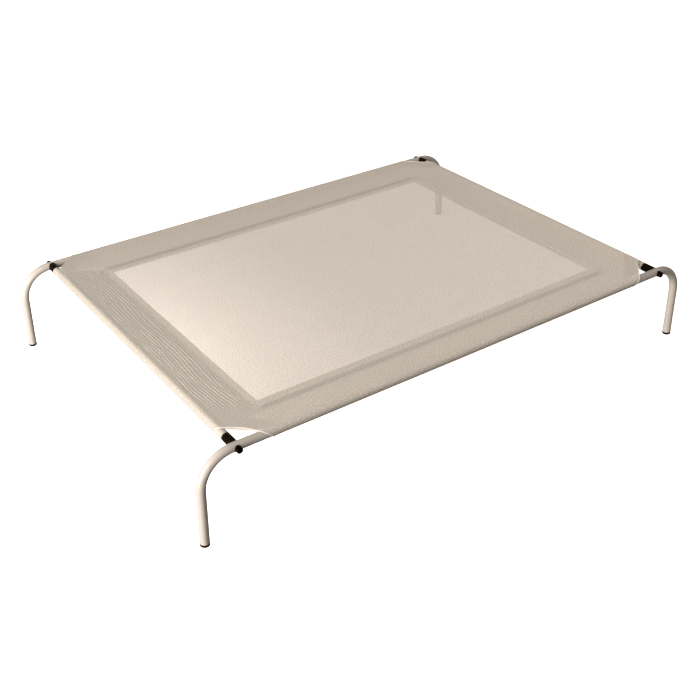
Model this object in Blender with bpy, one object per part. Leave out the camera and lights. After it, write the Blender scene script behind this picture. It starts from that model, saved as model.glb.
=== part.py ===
"""A raised dog bed: a bolted frame of round tube that holds a stretched mesh cover. Metres, +Z up.

The long rails run along X and the crossbars along Y. The origin is the middle of the footprint, on the floor.
"""

import math

import bmesh
import bpy
from mathutils import Matrix, Vector

GAP = 0.0003  # between neighbouring pieces

# Tube frame
DECK_LENGTH = 1.110  # between the axes of the two crossbars
DECK_WIDTH = 0.870  # between the axes of the two rails
TUBE_R = 0.0095
TUBE_WALL = 0.0012
TUBE_Z = 0.1905  # height of the axis of every deck tube
LEG_REACH = 0.0797  # from a crossbar's axis out to a foot
LEG_SPLAY = math.radians(1.7)
BEND_R = 0.070
BEND_STEPS = 9
TUBE_SIDES = 24

# Corner plug, measured from the rail's axis inwards along the crossbar
SADDLE_LIP = 0.005
COLLAR_END = 0.035
SPIGOT_R = 0.0080
SPIGOT_END = 0.057

# Bolt, washer and nut
BOLT_R = 0.0030
BORE_R = 0.0033
HEAD_R = 0.0065
HEAD_HEIGHT = 0.0060
HEAD_CHAMFER = 0.0008
SOCKET_FLATS = 0.0050
SOCKET_DEPTH = 0.0035
BOLT_PAST_NUT = 0.003
WASHER_R = 0.0070
WASHER_THICKNESS = 0.0020
NUT_FLATS = 0.0100
NUT_THICKNESS = 0.0050
NUT_POCKET_FLATS = 0.0107
SMALL_SIDES = 20

# Foot cap
CAP_R = 0.0100
CAP_HEIGHT = 0.0050
CAP_CHAMFER = 0.0010
STEM_R = 0.0080
STEM_HEIGHT = 0.016

# Mesh cover
CLOTH = 0.0010  # thickness
WRAP_STEPS = 16
FLAP_STEPS = 5
CUT_STEPS = 6
MITRE_GAP = 0.0006

# At each corner: where the cover stops along the rail and along the crossbar, measured from where their axes
# cross, how far the cut edge bows inwards, and where the seams of the two sleeves meet (along rail, along bar).
CORNERS = {
    ("left", "front"): {"rail": 0.052, "bar": 0.051, "bow": 0.006, "seam": (0.097, 0.089)},
    ("left", "back"): {"rail": 0.051, "bar": 0.050, "bow": 0.001, "seam": (0.097, 0.137)},
    ("right", "front"): {"rail": 0.055, "bar": 0.055, "bow": 0.001, "seam": (0.126, 0.091)},
    ("right", "back"): {"rail": 0.057, "bar": 0.056, "bow": 0.001, "seam": (0.124, 0.136)},
}
X_SIGN = {"left": -1, "right": 1}
Y_SIGN = {"front": -1, "back": 1}

CREAM = (0.80, 0.74, 0.66, 1)
BLACK = (0.02, 0.017, 0.014, 1)
ZINC = (0.55, 0.55, 0.56, 1)
MESH_CLOTH = (0.62, 0.55, 0.47, 1)


def clear_scene():
    for obj in list(bpy.data.objects):
        bpy.data.objects.remove(obj)


def material(name, colour, roughness, metallic=0.0):
    made = bpy.data.materials.new(name)
    made.use_nodes = True
    shader = made.node_tree.nodes["Principled BSDF"]
    shader.inputs["Base Color"].default_value = colour
    shader.inputs["Roughness"].default_value = roughness
    shader.inputs["Metallic"].default_value = metallic
    return made


def object_from(name, mesh_data, finish=None, smooth=True):
    """An object from a bmesh, with its faces turned outwards."""
    bmesh.ops.recalc_face_normals(mesh_data, faces=mesh_data.faces)
    mesh = bpy.data.meshes.new(name)
    mesh_data.to_mesh(mesh)
    mesh_data.free()
    obj = bpy.data.objects.new(name, mesh)
    bpy.context.scene.collection.objects.link(obj)
    if smooth:
        mesh.shade_smooth()
        mesh.set_sharp_from_angle(angle=math.radians(35))
    if finish:
        mesh.materials.append(material(name, *finish))
    return obj


def bridge(mesh_data, first, second, closed=True):
    """Quads between two rows of vertices."""
    count = len(first)
    for i in range(count if closed else count - 1):
        j = (i + 1) % count
        mesh_data.faces.new((first[i], first[j], second[j], second[i]))


def ring(mesh_data, centre, across, up, radius, sides):
    angles = [2 * math.pi * i / sides for i in range(sides)]
    return [
        mesh_data.verts.new(centre + radius * (math.cos(a) * across + math.sin(a) * up))
        for a in angles
    ]


def tube(name, path, side, finish):
    """A hollow tube along a path of (point, direction). Every direction is square to side."""
    made = bmesh.new()
    skins = []
    for radius in (TUBE_R, TUBE_R - TUBE_WALL):
        rings = [
            ring(made, point, side, direction.cross(side), radius, TUBE_SIDES)
            for point, direction in path
        ]
        for first, second in zip(rings, rings[1:]):
            bridge(made, first, second)
        skins.append(rings)
    for end in (0, -1):
        bridge(made, skins[0][end], skins[1][end])
    return object_from(name, made, finish)


def lathe(name, profile, place, sides=SMALL_SIDES, hollow=False, finish=None, smooth=True):
    """A profile of (distance along the axis, radius) turned about the local Z axis, then put in place."""
    made = bmesh.new()
    rings = [
        ring(made, Vector((0, 0, along)), Vector((1, 0, 0)), Vector((0, 1, 0)), radius, sides)
        for along, radius in profile
    ]
    for first, second in zip(rings, rings[1:]):
        bridge(made, first, second)
    if hollow:
        bridge(made, rings[-1], rings[0])
    else:
        made.faces.new(rings[0])
        made.faces.new(rings[-1])
    made.transform(place)
    return object_from(name, made, finish, smooth)


def cutter(obj):
    obj.hide_render = True
    obj.display_type = "WIRE"
    return obj


def cut(obj, tool):
    modifier = obj.modifiers.new("cut", "BOOLEAN")
    modifier.operation = "DIFFERENCE"
    modifier.solver = "EXACT"
    modifier.object = tool


def hexagon_r(flats):
    """The corner radius of a hexagon of this width across its flats."""
    return flats / math.sqrt(3)


def corner_place(end, side):
    """Local Z runs from the rail's axis inwards along the crossbar's axis."""
    x = X_SIGN[end] * DECK_LENGTH / 2
    y = Y_SIGN[side] * DECK_WIDTH / 2
    turn = Matrix.Rotation(Y_SIGN[side] * math.pi / 2, 4, "X")
    return Matrix.Translation((x, y, TUBE_Z)) @ turn


def leg_path():
    """The left leg and its bend, in the XZ plane, from the foot up to the straight of the rail."""
    up = Vector((math.sin(LEG_SPLAY), 0, math.cos(LEG_SPLAY)))
    foot = Vector((-DECK_LENGTH / 2 - LEG_REACH, 0, 0))
    corner = foot + up * (TUBE_Z / math.cos(LEG_SPLAY))
    turn = math.pi / 2 - LEG_SPLAY
    bend_start = corner - up * (BEND_R * math.tan(turn / 2))
    centre = bend_start + BEND_R * Vector((math.cos(LEG_SPLAY), 0, -math.sin(LEG_SPLAY)))
    path = [(foot + up * (CAP_HEIGHT + GAP), up)]
    for i in range(BEND_STEPS + 1):
        angle = LEG_SPLAY + turn * i / BEND_STEPS
        outwards = Vector((-math.cos(angle), 0, math.sin(angle)))
        path.append((centre + BEND_R * outwards, Vector((math.sin(angle), 0, math.cos(angle)))))
    return path


def build_rail(side):
    """One long tube bent down at both ends into legs, with a cross hole for each corner bolt."""
    y = Vector((0, Y_SIGN[side] * DECK_WIDTH / 2, 0))
    left = leg_path()
    right = [
        (Vector((-point.x, 0, point.z)), Vector((direction.x, 0, -direction.z)))
        for point, direction in reversed(left)
    ]
    path = [(point + y, direction) for point, direction in left + right]
    rail = tube(f"rail_{side}", path, Vector((0, 1, 0)), (CREAM, 0.35))
    for end in X_SIGN:
        profile = [(-2 * TUBE_R, BORE_R), (2 * TUBE_R, BORE_R)]
        hole = lathe(f"rail_hole_{side}_{end}", profile, corner_place(end, side))
        cut(rail, cutter(hole))


def build_crossbar(end):
    """A straight tube that stops where the collars of its two corner plugs begin."""
    half = DECK_WIDTH / 2 - COLLAR_END - GAP
    along = Vector((0, 1, 0))
    ends = [Vector((X_SIGN[end] * DECK_LENGTH / 2, y, TUBE_Z)) for y in (-half, half)]
    path = [(point, along) for point in ends]
    tube(f"crossbar_{end}", path, Vector((1, 0, 0)), (CREAM, 0.35))


def rail_cutter(name, end, side):
    """A rod along the rail's axis, a gap wider than the tube, for the faces that sit against the rail."""
    place = corner_place(end, side) @ Matrix.Rotation(math.pi / 2, 4, "Y")
    profile = [(-2 * TUBE_R, TUBE_R + GAP), (2 * TUBE_R, TUBE_R + GAP)]
    return cutter(lathe(name, profile, place, sides=2 * TUBE_SIDES))


def build_plug(end, side):
    """A collar that cups the rail, and a spigot that goes into the crossbar and holds the nut."""
    profile = [
        (SADDLE_LIP, BORE_R),
        (SADDLE_LIP, TUBE_R),
        (COLLAR_END, TUBE_R),
        (COLLAR_END, SPIGOT_R),
        (SPIGOT_END, SPIGOT_R),
        (SPIGOT_END, BORE_R),
    ]
    place = corner_place(end, side)
    name = f"plug_{side}_{end}"
    plug = lathe(name, profile, place, TUBE_SIDES, hollow=True, finish=(BLACK, 0.5))
    cut(plug, rail_cutter(f"{name}_saddle", end, side))
    pocket_r = hexagon_r(NUT_POCKET_FLATS)
    pocket_start = SPIGOT_END - NUT_THICKNESS - 2 * GAP
    pocket = [(pocket_start, pocket_r), (SPIGOT_END + TUBE_R, pocket_r)]
    cut(plug, cutter(lathe(f"{name}_pocket", pocket, place, sides=6, smooth=False)))


def build_washer(end, side):
    """A cup washer between the rail's outer side and the bolt's head."""
    profile = [
        (-TUBE_R - WASHER_THICKNESS, BORE_R),
        (-TUBE_R - WASHER_THICKNESS, WASHER_R),
        (-SADDLE_LIP, WASHER_R),
        (-SADDLE_LIP, BORE_R),
    ]
    name = f"washer_{side}_{end}"
    washer = lathe(name, profile, corner_place(end, side), hollow=True, finish=(BLACK, 0.5))
    cut(washer, rail_cutter(f"{name}_saddle", end, side))


def build_bolt(end, side):
    """A round-headed bolt with a hexagon socket, through the rail and plug into the nut."""
    seat = -TUBE_R - WASHER_THICKNESS - GAP
    profile = [
        (seat - HEAD_HEIGHT, HEAD_R - HEAD_CHAMFER),
        (seat - HEAD_HEIGHT + HEAD_CHAMFER, HEAD_R),
        (seat, HEAD_R),
        (seat, BOLT_R),
        (SPIGOT_END + BOLT_PAST_NUT, BOLT_R),
    ]
    name = f"bolt_{side}_{end}"
    place = corner_place(end, side)
    bolt = lathe(name, profile, place, finish=(BLACK, 0.4, 1.0))
    socket_r = hexagon_r(SOCKET_FLATS)
    socket = [(seat - 2 * HEAD_HEIGHT, socket_r), (seat - HEAD_HEIGHT + SOCKET_DEPTH, socket_r)]
    cut(bolt, cutter(lathe(f"{name}_socket", socket, place, sides=6, smooth=False)))


def build_nut(end, side):
    """A hexagon nut held in the spigot's inner end."""
    nut_r = hexagon_r(NUT_FLATS)
    start = SPIGOT_END - NUT_THICKNESS - GAP
    name = f"nut_{side}_{end}"
    place = corner_place(end, side)
    outline = [(start, nut_r), (start + NUT_THICKNESS, nut_r)]
    nut = lathe(name, outline, place, sides=6, finish=(ZINC, 0.4, 1.0), smooth=False)
    bore = [(start - NUT_THICKNESS, BORE_R), (start + 2 * NUT_THICKNESS, BORE_R)]
    cut(nut, cutter(lathe(f"{name}_bore", bore, place)))


def build_foot_cap(end, side):
    """A cap with a stem up into the leg. Its underside is level with the floor, not square to the leg."""
    profile = [
        (0, CAP_R - CAP_CHAMFER),
        (CAP_CHAMFER, CAP_R),
        (CAP_HEIGHT, CAP_R),
        (CAP_HEIGHT, STEM_R),
        (STEM_HEIGHT, STEM_R),
    ]
    x = X_SIGN[end] * (DECK_LENGTH / 2 + LEG_REACH)
    lean = Matrix.Rotation(-X_SIGN[end] * LEG_SPLAY, 4, "Y")
    place = Matrix.Translation((x, Y_SIGN[side] * DECK_WIDTH / 2, 0)) @ lean
    cap = lathe(f"foot_cap_{side}_{end}", profile, place, TUBE_SIDES, finish=(BLACK, 0.6))
    for vertex in cap.data.vertices[:TUBE_SIDES]:
        vertex.co.z = 0


def corner_point(end, side, along_rail, along_bar):
    """A point of the deck's plan, given by its distances from the corner where the axes cross."""
    x = X_SIGN[end] * (DECK_LENGTH / 2 - along_rail)
    y = Y_SIGN[side] * (DECK_WIDTH / 2 - along_bar)
    return Vector((x, y))


def cut_edge(end, side, steps):
    """The cover's edge across a corner, from the rail to the crossbar, bowed towards the deck's middle."""
    corner = CORNERS[end, side]
    points = []
    for i in range(steps + 1):
        t = i / steps
        bow = 4 * t * (1 - t) * corner["bow"] / math.sqrt(2)
        points.append(corner_point(end, side, (1 - t) * corner["rail"] + bow, t * corner["bar"] + bow))
    return points


def build_panel():
    """The cover's flat top, which lies on the tubes and ends above their axes."""
    outline = []
    for end, side in (("left", "front"), ("right", "front"), ("right", "back"), ("left", "back")):
        edge = cut_edge(end, side, CUT_STEPS)
        outline += edge if X_SIGN[end] != Y_SIGN[side] else edge[::-1]
    half = Vector((DECK_LENGTH / 2, DECK_WIDTH / 2)) - Vector((GAP, GAP))
    made = bmesh.new()
    layers = []
    for z in (TUBE_Z + TUBE_R + GAP, TUBE_Z + TUBE_R + GAP + CLOTH):
        layer = []
        for x, y in outline:
            inside = (max(-half.x, min(half.x, x)), max(-half.y, min(half.y, y)), z)
            layer.append(made.verts.new(inside))
        made.faces.new(layer)
        layers.append(layer)
    bridge(made, *layers)
    object_from("cover_panel", made, (MESH_CLOTH, 0.85), smooth=False)


def sleeve_section(seam):
    """Pairs of (inner, outer) points, each (distance inwards from the tube's axis, height above it).

    It starts on top of the tube, goes round its outer side and below it, and rises straight to the seam.
    """
    inner_r = TUBE_R + GAP
    ends = []
    for radius, drop in ((inner_r, 0), (inner_r + CLOTH, CLOTH)):
        top = TUBE_R - drop
        leaves = math.atan2(top, seam) - math.acos(radius / math.hypot(seam, top))
        ends.append((radius, 2 * math.pi + leaves, Vector((seam, top))))
    pairs = []
    for i in range(WRAP_STEPS + 1):
        pair = []
        for radius, leaves, _ in ends:
            angle = math.pi / 2 + (leaves - math.pi / 2) * i / WRAP_STEPS
            pair.append(radius * Vector((math.cos(angle), math.sin(angle))))
        pairs.append(pair)
    last = pairs[-1]
    for i in range(1, FLAP_STEPS + 1):
        pairs.append([last[k].lerp(ends[k][2], i / FLAP_STEPS) for k in (0, 1)])
    return pairs


def between(value, low, high, first, last):
    """The straight line from first, at low, to last, at high."""
    return first + (last - first) * (value - low) / (high - low)


def sleeve_end(start, middle, seam, inwards):
    """How far along the tube the sleeve ends, at a distance inwards from the tube's axis.

    start is the end on the tube, middle the point (inwards, along) halfway over the corner's cut edge, and
    seam the point where this sleeve's seam meets its neighbour's.
    """
    if inwards <= TUBE_R:
        return start
    if inwards <= middle[0]:
        return between(inwards, TUBE_R, middle[0], start, middle[1])
    return between(inwards, middle[0], seam[0], middle[1], seam[1])


def build_sleeve(place, corners):
    """The part of the cover that wraps one tube. Each corner gives its side of the deck and its two ends."""
    made = bmesh.new()
    rows = []
    for end, side in corners:
        corner = CORNERS[end, side]
        on_rail = place in Y_SIGN
        middle = cut_edge(end, side, 2)[1]
        from_bar = DECK_LENGTH / 2 - abs(middle.x)
        from_rail = DECK_WIDTH / 2 - abs(middle.y)
        along_rail, along_bar = corner["seam"]
        if on_rail:
            stop = (corner["rail"], (from_rail, from_bar), (along_bar, along_rail))
        else:
            stop = (corner["bar"], (from_bar, from_rail), (along_rail, along_bar))
        row = []
        for pair in sleeve_section(stop[2][0]):
            for point in pair:
                away = sleeve_end(*stop, point.x) + MITRE_GAP
                distances = (away, point.x) if on_rail else (point.x, away)
                x, y = corner_point(end, side, *distances)
                row.append(made.verts.new((x, y, TUBE_Z + point.y)))
        rows.append(row)
    count = len(rows[0])
    for row in rows:
        for i in range(0, count - 2, 2):
            made.faces.new((row[i], row[i + 1], row[i + 3], row[i + 2]))
    first, second = rows
    for skin in (0, 1):
        bridge(made, first[skin::2], second[skin::2], closed=False)
    for i in (0, count - 2):
        made.faces.new((first[i], first[i + 1], second[i + 1], second[i]))
    object_from(f"cover_sleeve_{place}", made, (MESH_CLOTH, 0.85))


def build_cover():
    build_panel()
    for side in Y_SIGN:
        build_sleeve(side, [(end, side) for end in X_SIGN])
    for end in X_SIGN:
        build_sleeve(end, [(end, side) for side in Y_SIGN])


def build():
    clear_scene()
    for side in Y_SIGN:
        build_rail(side)
    for end in X_SIGN:
        build_crossbar(end)
    for end in X_SIGN:
        for side in Y_SIGN:
            build_plug(end, side)
            build_washer(end, side)
            build_bolt(end, side)
            build_nut(end, side)
            build_foot_cap(end, side)
    build_cover()


build()
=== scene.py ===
"""Looks for the raised dog bed: powder-coated tube frame, black fittings and a stretched mesh cover.

Metres, +Z up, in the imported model's frame. The rails run along X and the crossbars along Y.
"""

import math

import bmesh
import bpy
from mathutils import Matrix, Vector, noise


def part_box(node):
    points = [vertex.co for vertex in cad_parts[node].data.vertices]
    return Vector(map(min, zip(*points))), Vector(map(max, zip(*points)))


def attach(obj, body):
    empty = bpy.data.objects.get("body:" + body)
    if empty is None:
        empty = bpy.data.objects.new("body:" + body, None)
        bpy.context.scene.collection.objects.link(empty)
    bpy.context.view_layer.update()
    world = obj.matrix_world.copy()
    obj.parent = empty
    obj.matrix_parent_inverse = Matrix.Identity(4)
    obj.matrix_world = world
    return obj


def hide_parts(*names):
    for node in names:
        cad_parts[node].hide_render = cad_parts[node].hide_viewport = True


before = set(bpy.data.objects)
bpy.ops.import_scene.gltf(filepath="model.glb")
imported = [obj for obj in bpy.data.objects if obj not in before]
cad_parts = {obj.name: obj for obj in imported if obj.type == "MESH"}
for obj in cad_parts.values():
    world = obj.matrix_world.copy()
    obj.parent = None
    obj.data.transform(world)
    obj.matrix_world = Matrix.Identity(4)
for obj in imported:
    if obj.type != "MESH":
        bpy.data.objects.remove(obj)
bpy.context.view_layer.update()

LEFT, RIGHT = -1, 1
FRONT, BACK = -1, 1
END_NAME = {LEFT: "left", RIGHT: "right"}
SIDE_NAME = {FRONT: "front", BACK: "back"}
CORNERS = [(end, side) for side in (FRONT, BACK) for end in (LEFT, RIGHT)]


def corner_name(end, side):
    return f"{SIDE_NAME[side]}_{END_NAME[end]}"


# ---------------------------------------------------------------- sizes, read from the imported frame


def extent(node):
    """(lowest corner, highest corner, centre) of a CAD node."""
    low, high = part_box(node)
    return low, high, (low + high) / 2


BAR_LOW, BAR_HIGH, BAR_MID = extent("crossbar_right")
_, RAIL_HIGH, RAIL_MID = extent("rail_back")
PLUG_LOW, PLUG_HIGH, _ = extent("plug_back_right")
BOLT_LOW, BOLT_HIGH, _ = extent("bolt_back_right")
WASHER_LOW, WASHER_HIGH, _ = extent("washer_back_right")

TUBE_R = (BAR_HIGH.x - BAR_LOW.x) / 2
BAR_X = BAR_MID.x  # axis of the right crossbar
RAIL_Y = RAIL_MID.y  # axis of the back rail
TUBE_Z = BAR_MID.z
TUBE_WALL = 0.0012
LEG_SPLAY = math.radians(1.7)
BEND_R = 0.070
CAP_R = TUBE_R + 0.0005
CAP_HEIGHT = 0.0050
LEG_X = RAIL_HIGH.x - TUBE_R + CAP_HEIGHT * math.tan(LEG_SPLAY)  # a foot's centre on the floor
GAP = 0.0003  # between pieces that fit together

# ---------------------------------------------------------------- cloth and colours

CLOTH_R = TUBE_R + 0.0008  # from a tube's axis to the cloth round it
SAG = 0.004
LAYER = 0.0009  # between the cloth's layers where they lie together
ALLOWANCE = 0.0135  # from a border's stitches to its inner edge
HEM_START = 0.020  # from a border's inner edge out to its folded hem
HEM = 0.011  # width of the folded hem
LEFT_HEM = 0.070  # the same at the left border, where a dark sheet reaches nearly as far as its tube: painted shade under the border
PRESSED_SHORT = 0.022  # how far before the hems' ends the pressed lines end
ON_TOP = 0.0003  # how far a strip lies above the top layer
CUT_REACH = 0.068  # no strip comes nearer to a corner than this, along rail and crossbar together
BORDER_DROP = 0.0008  # how much lower the left border lies than the cloth on both sides of it
RECESS = 0.019  # how much further the lower layer is cut back at a corner
SLIDE = math.sqrt(2) * RECESS  # the same, measured along a tube
LIFT_GAP = 0.0035  # between the layers at the lower one's cut
LIFT_REACH = 0.045  # how far in from its cut the lower layer rises towards the upper one
FOLD_START, FOLD_WIDTH = 0.0004, 0.030  # the corner folded under along its cut
LIP_DEPTH = 0.0055  # the front left corner's edge, stretched and hanging
LIP_LEAN = 0.25  # how far the hanging edge stands out, as a share of how far it hangs
RIM_R = 0.0007
STRETCHED_RIM_R = 0.0011  # the same rim at the front left corner
STITCH_LENGTH, STITCH_PITCH, STITCH_R = 0.0034, 0.0046, 0.00028
STITCH_SHAPE = ((-0.5, 1.0), (-0.25, 0.1), (0.25, 0.1), (0.5, 1.0))  # (share of the length, how deep it dips)
WEAVE = 0.0012  # between two yarns

CREAM = (0.62, 0.55, 0.48, 1)
CLOTH = (0.66, 0.587, 0.506, 1)
# Painted shade: this dark opaque cloth, for the hems, the sheet under the left border and the corner folds,
# stands for the shade between the cloth's layers.
FOLD_SHADE_CLOTH = (0.20, 0.178, 0.153, 1)
# Painted shade: the pressed lines over the front and back hems are darker than the cloth, for the shade along
# those hems.
PRESSED_SHADE_CLOTH = (0.60, 0.533, 0.459, 1)
CLOTH_ALPHA = 0.90
BLACK = (0.006, 0.0032, 0.001, 1)
OXIDE_BLACK = (0.008, 0.005, 0.003, 1)
WARM_WHITE = (1.25, 1.10, 1.00, 1)


# ---------------------------------------------------------------- mesh helpers

SMOOTH_ANGLE = math.radians(35)  # edges that turn more than this stay sharp
ROUND_STEPS = 3  # sections of a rounded corner


def object_from(name, mesh_data, material):
    bmesh.ops.recalc_face_normals(mesh_data, faces=mesh_data.faces)
    mesh = bpy.data.meshes.new(name)
    mesh_data.to_mesh(mesh)
    mesh_data.free()
    mesh.shade_smooth()
    mesh.set_sharp_from_angle(angle=SMOOTH_ANGLE)
    mesh.materials.append(material)
    obj = bpy.data.objects.new(name, mesh)
    bpy.context.scene.collection.objects.link(obj)
    return obj


def bridge(mesh_data, first, second, closed=True):
    """Quads between two rows of vertices."""
    count = len(first)
    for i in range(count if closed else count - 1):
        j = (i + 1) % count
        mesh_data.faces.new((first[i], first[j], second[j], second[i]))


def surface(name, rows, material):
    """An open surface through rows of points."""
    made = bmesh.new()
    vertices = [[made.verts.new(point) for point in row] for row in rows]
    for first, second in zip(vertices, vertices[1:]):
        bridge(made, first, second, closed=False)
    return object_from(name, made, material)


def ring(mesh_data, centre, across, up, radius, sides):
    angles = [2 * math.pi * i / sides for i in range(sides)]
    return [
        mesh_data.verts.new(centre + radius * (math.cos(a) * across + math.sin(a) * up))
        for a in angles
    ]


def sweep(mesh_data, path, radius, sides, closed=False):
    """A round rod along a list of points, with its frame carried along without twist."""
    count = len(path)
    rings = []
    across = None
    for i, point in enumerate(path):
        before = path[(i - 1) % count] if closed or i else point
        after = path[(i + 1) % count] if closed or i + 1 < count else point
        along = (after - before).normalized()
        if across is None:
            across = along.orthogonal().normalized()
        across = (across - across.dot(along) * along).normalized()
        rings.append(ring(mesh_data, point, across, along.cross(across), radius, sides))
    for first, second in zip(rings, rings[1:]):
        bridge(mesh_data, first, second)
    if closed:
        shift = min(
            range(sides), key=lambda k: (rings[0][k].co - rings[-1][0].co).length
        )
        bridge(mesh_data, rings[-1], rings[0][shift:] + rings[0][:shift])
    else:
        mesh_data.faces.new(rings[0])
        mesh_data.faces.new(rings[-1])


def lathe(mesh_data, profile, place, sides=48, hollow=False):
    """A profile of (distance along the axis, radius) turned about local Z, then put in place."""
    across, up = place.to_3x3().col[:2]
    rings = [ring(mesh_data, place @ Vector((0, 0, along)), across, up, r, sides) for along, r in profile]
    for first, second in zip(rings, rings[1:]):
        bridge(mesh_data, first, second)
    if hollow:
        bridge(mesh_data, rings[-1], rings[0])
    else:
        mesh_data.faces.new(rings[0])
        mesh_data.faces.new(rings[-1])


def rounded(profile, radius):
    """The profile with each inner corner rounded off by a small arc of this radius."""
    points = [Vector(p) for p in profile]
    out = [points[0]]
    for before, corner, after in zip(points, points[1:], points[2:]):
        first = (before - corner).normalized()
        second = (after - corner).normalized()
        reach = min(radius, (before - corner).length / 2, (after - corner).length / 2)
        start, end = corner + reach * first, corner + reach * second
        for i in range(ROUND_STEPS + 1):
            t = i / ROUND_STEPS
            out.append((1 - t) ** 2 * start + 2 * t * (1 - t) * corner + t * t * end)
    out.append(points[-1])
    return [tuple(p) for p in out]


def cut(obj, mesh_data):
    """Cuts the closed mesh away from obj."""
    bmesh.ops.recalc_face_normals(mesh_data, faces=mesh_data.faces)
    mesh = bpy.data.meshes.new("cutter")
    mesh_data.to_mesh(mesh)
    mesh_data.free()
    tool = bpy.data.objects.new("cutter", mesh)
    bpy.context.scene.collection.objects.link(tool)
    modifier = obj.modifiers.new("cut", "BOOLEAN")
    modifier.operation = "DIFFERENCE"
    modifier.solver = "EXACT"
    modifier.object = tool
    graph = bpy.context.evaluated_depsgraph_get()
    result = bpy.data.meshes.new_from_object(obj.evaluated_get(graph))
    obj.modifiers.clear()
    obj.data = result
    result.set_sharp_from_angle(angle=SMOOTH_ANGLE)
    bpy.data.objects.remove(tool)


# ---------------------------------------------------------------- materials


def new_material(name):
    material = bpy.data.materials.new(name)
    material.use_nodes = True
    return material, material.node_tree, material.node_tree.nodes["Principled BSDF"]


def add(tree, kind, **values):
    """A node with its attributes, or its inputs where the name is an input's, set."""
    made = tree.nodes.new(kind)
    for key, value in values.items():
        socket = made.inputs.get(key.replace("_", " "))
        if socket is not None and not hasattr(made, key):
            socket.default_value = value
        else:
            setattr(made, key, value)
    return made


def noise_node(tree, vector, scale, detail=3.0, roughness=0.5):
    made = add(tree, "ShaderNodeTexNoise", Scale=scale, Detail=detail, Roughness=roughness)
    tree.links.new(vector, made.inputs["Vector"])
    return made.outputs["Fac"]


def remap(tree, value, low, high, start=0.0, end=1.0):
    made = add(tree, "ShaderNodeMapRange")
    for key, number in (("From Min", start), ("From Max", end), ("To Min", low), ("To Max", high)):
        made.inputs[key].default_value = number
    tree.links.new(value, made.inputs["Value"])
    return made.outputs["Result"]


def maths(tree, operation, first, second):
    made = add(tree, "ShaderNodeMath", operation=operation)
    for socket, value in zip(made.inputs, (first, second)):
        if isinstance(value, float):
            socket.default_value = value
        else:
            tree.links.new(value, socket)
    return made.outputs["Value"]


def tinted(tree, colour, strength):
    """The colour multiplied by a value that lies round 1."""
    made = add(tree, "ShaderNodeMix", data_type="RGBA", blend_type="MULTIPLY")
    made.inputs["Factor"].default_value = 1.0
    made.inputs[6].default_value = colour
    tree.links.new(strength, made.inputs[7])
    return made.outputs[2]


def bump(tree, height, distance, strength=1.0):
    made = add(tree, "ShaderNodeBump", Strength=strength, Distance=distance)
    tree.links.new(height, made.inputs["Height"])
    return made.outputs["Normal"]


def powder_coat():
    """Smooth cream powder coat: a faint orange peel under a clear gloss, and small changes of tone."""
    material, tree, shader = new_material("frame_powder_coat")
    where = add(tree, "ShaderNodeTexCoord").outputs["Object"]
    tone = remap(tree, noise_node(tree, where, 14, 4), 0.95, 1.03)
    peel = noise_node(tree, where, 900, 2)
    tree.links.new(tinted(tree, CREAM, tone), shader.inputs["Base Color"])
    tree.links.new(remap(tree, peel, 0.26, 0.40), shader.inputs["Roughness"])
    tree.links.new(bump(tree, peel, 0.00006), shader.inputs["Normal"])
    shader.inputs["Coat Weight"].default_value = 0.5
    shader.inputs["Coat Roughness"].default_value = 0.08
    return material


def moulded_plastic(name, roughness):
    """Black nylon with a fine spark-eroded grain."""
    material, tree, shader = new_material(name)
    where = add(tree, "ShaderNodeTexCoord").outputs["Object"]
    grain = noise_node(tree, where, 2600, 3, 0.6)
    tone = remap(tree, noise_node(tree, where, 220), 0.75, 1.35)
    tree.links.new(tinted(tree, BLACK, tone), shader.inputs["Base Color"])
    tree.links.new(remap(tree, grain, roughness - 0.08, roughness + 0.10), shader.inputs["Roughness"])
    tree.links.new(bump(tree, grain, 0.00005), shader.inputs["Normal"])
    shader.inputs["Specular IOR Level"].default_value = 0.05
    return material


def plated_metal(name, colour, roughness):
    """Black oxide or zinc, with the faint streaks of turned metal."""
    material, tree, shader = new_material(name)
    where = add(tree, "ShaderNodeTexCoord").outputs["Object"]
    streaks = noise_node(tree, where, 1800, 5, 0.7)
    tree.links.new(tinted(tree, colour, remap(tree, streaks, 0.7, 1.3)), shader.inputs["Base Color"])
    tree.links.new(remap(tree, streaks, roughness - 0.1, roughness + 0.1), shader.inputs["Roughness"])
    tree.links.new(bump(tree, streaks, 0.00003), shader.inputs["Normal"])
    shader.inputs["Metallic"].default_value = 1.0
    return material


def yarns(tree, where, direction):
    """Rounded ridges one yarn apart, across the weave's X or Y."""
    made = add(tree, "ShaderNodeTexWave", wave_type="BANDS", bands_direction=direction)
    # A wave texture repeats every 2 pi / 20 units at scale 1.
    made.inputs["Scale"].default_value = math.pi / 10 / WEAVE
    made.inputs["Distortion"].default_value = 0.6
    made.inputs["Detail"].default_value = 1.0
    made.inputs["Detail Scale"].default_value = 1.5
    tree.links.new(where, made.inputs["Vector"])
    return made.outputs["Fac"]


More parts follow.
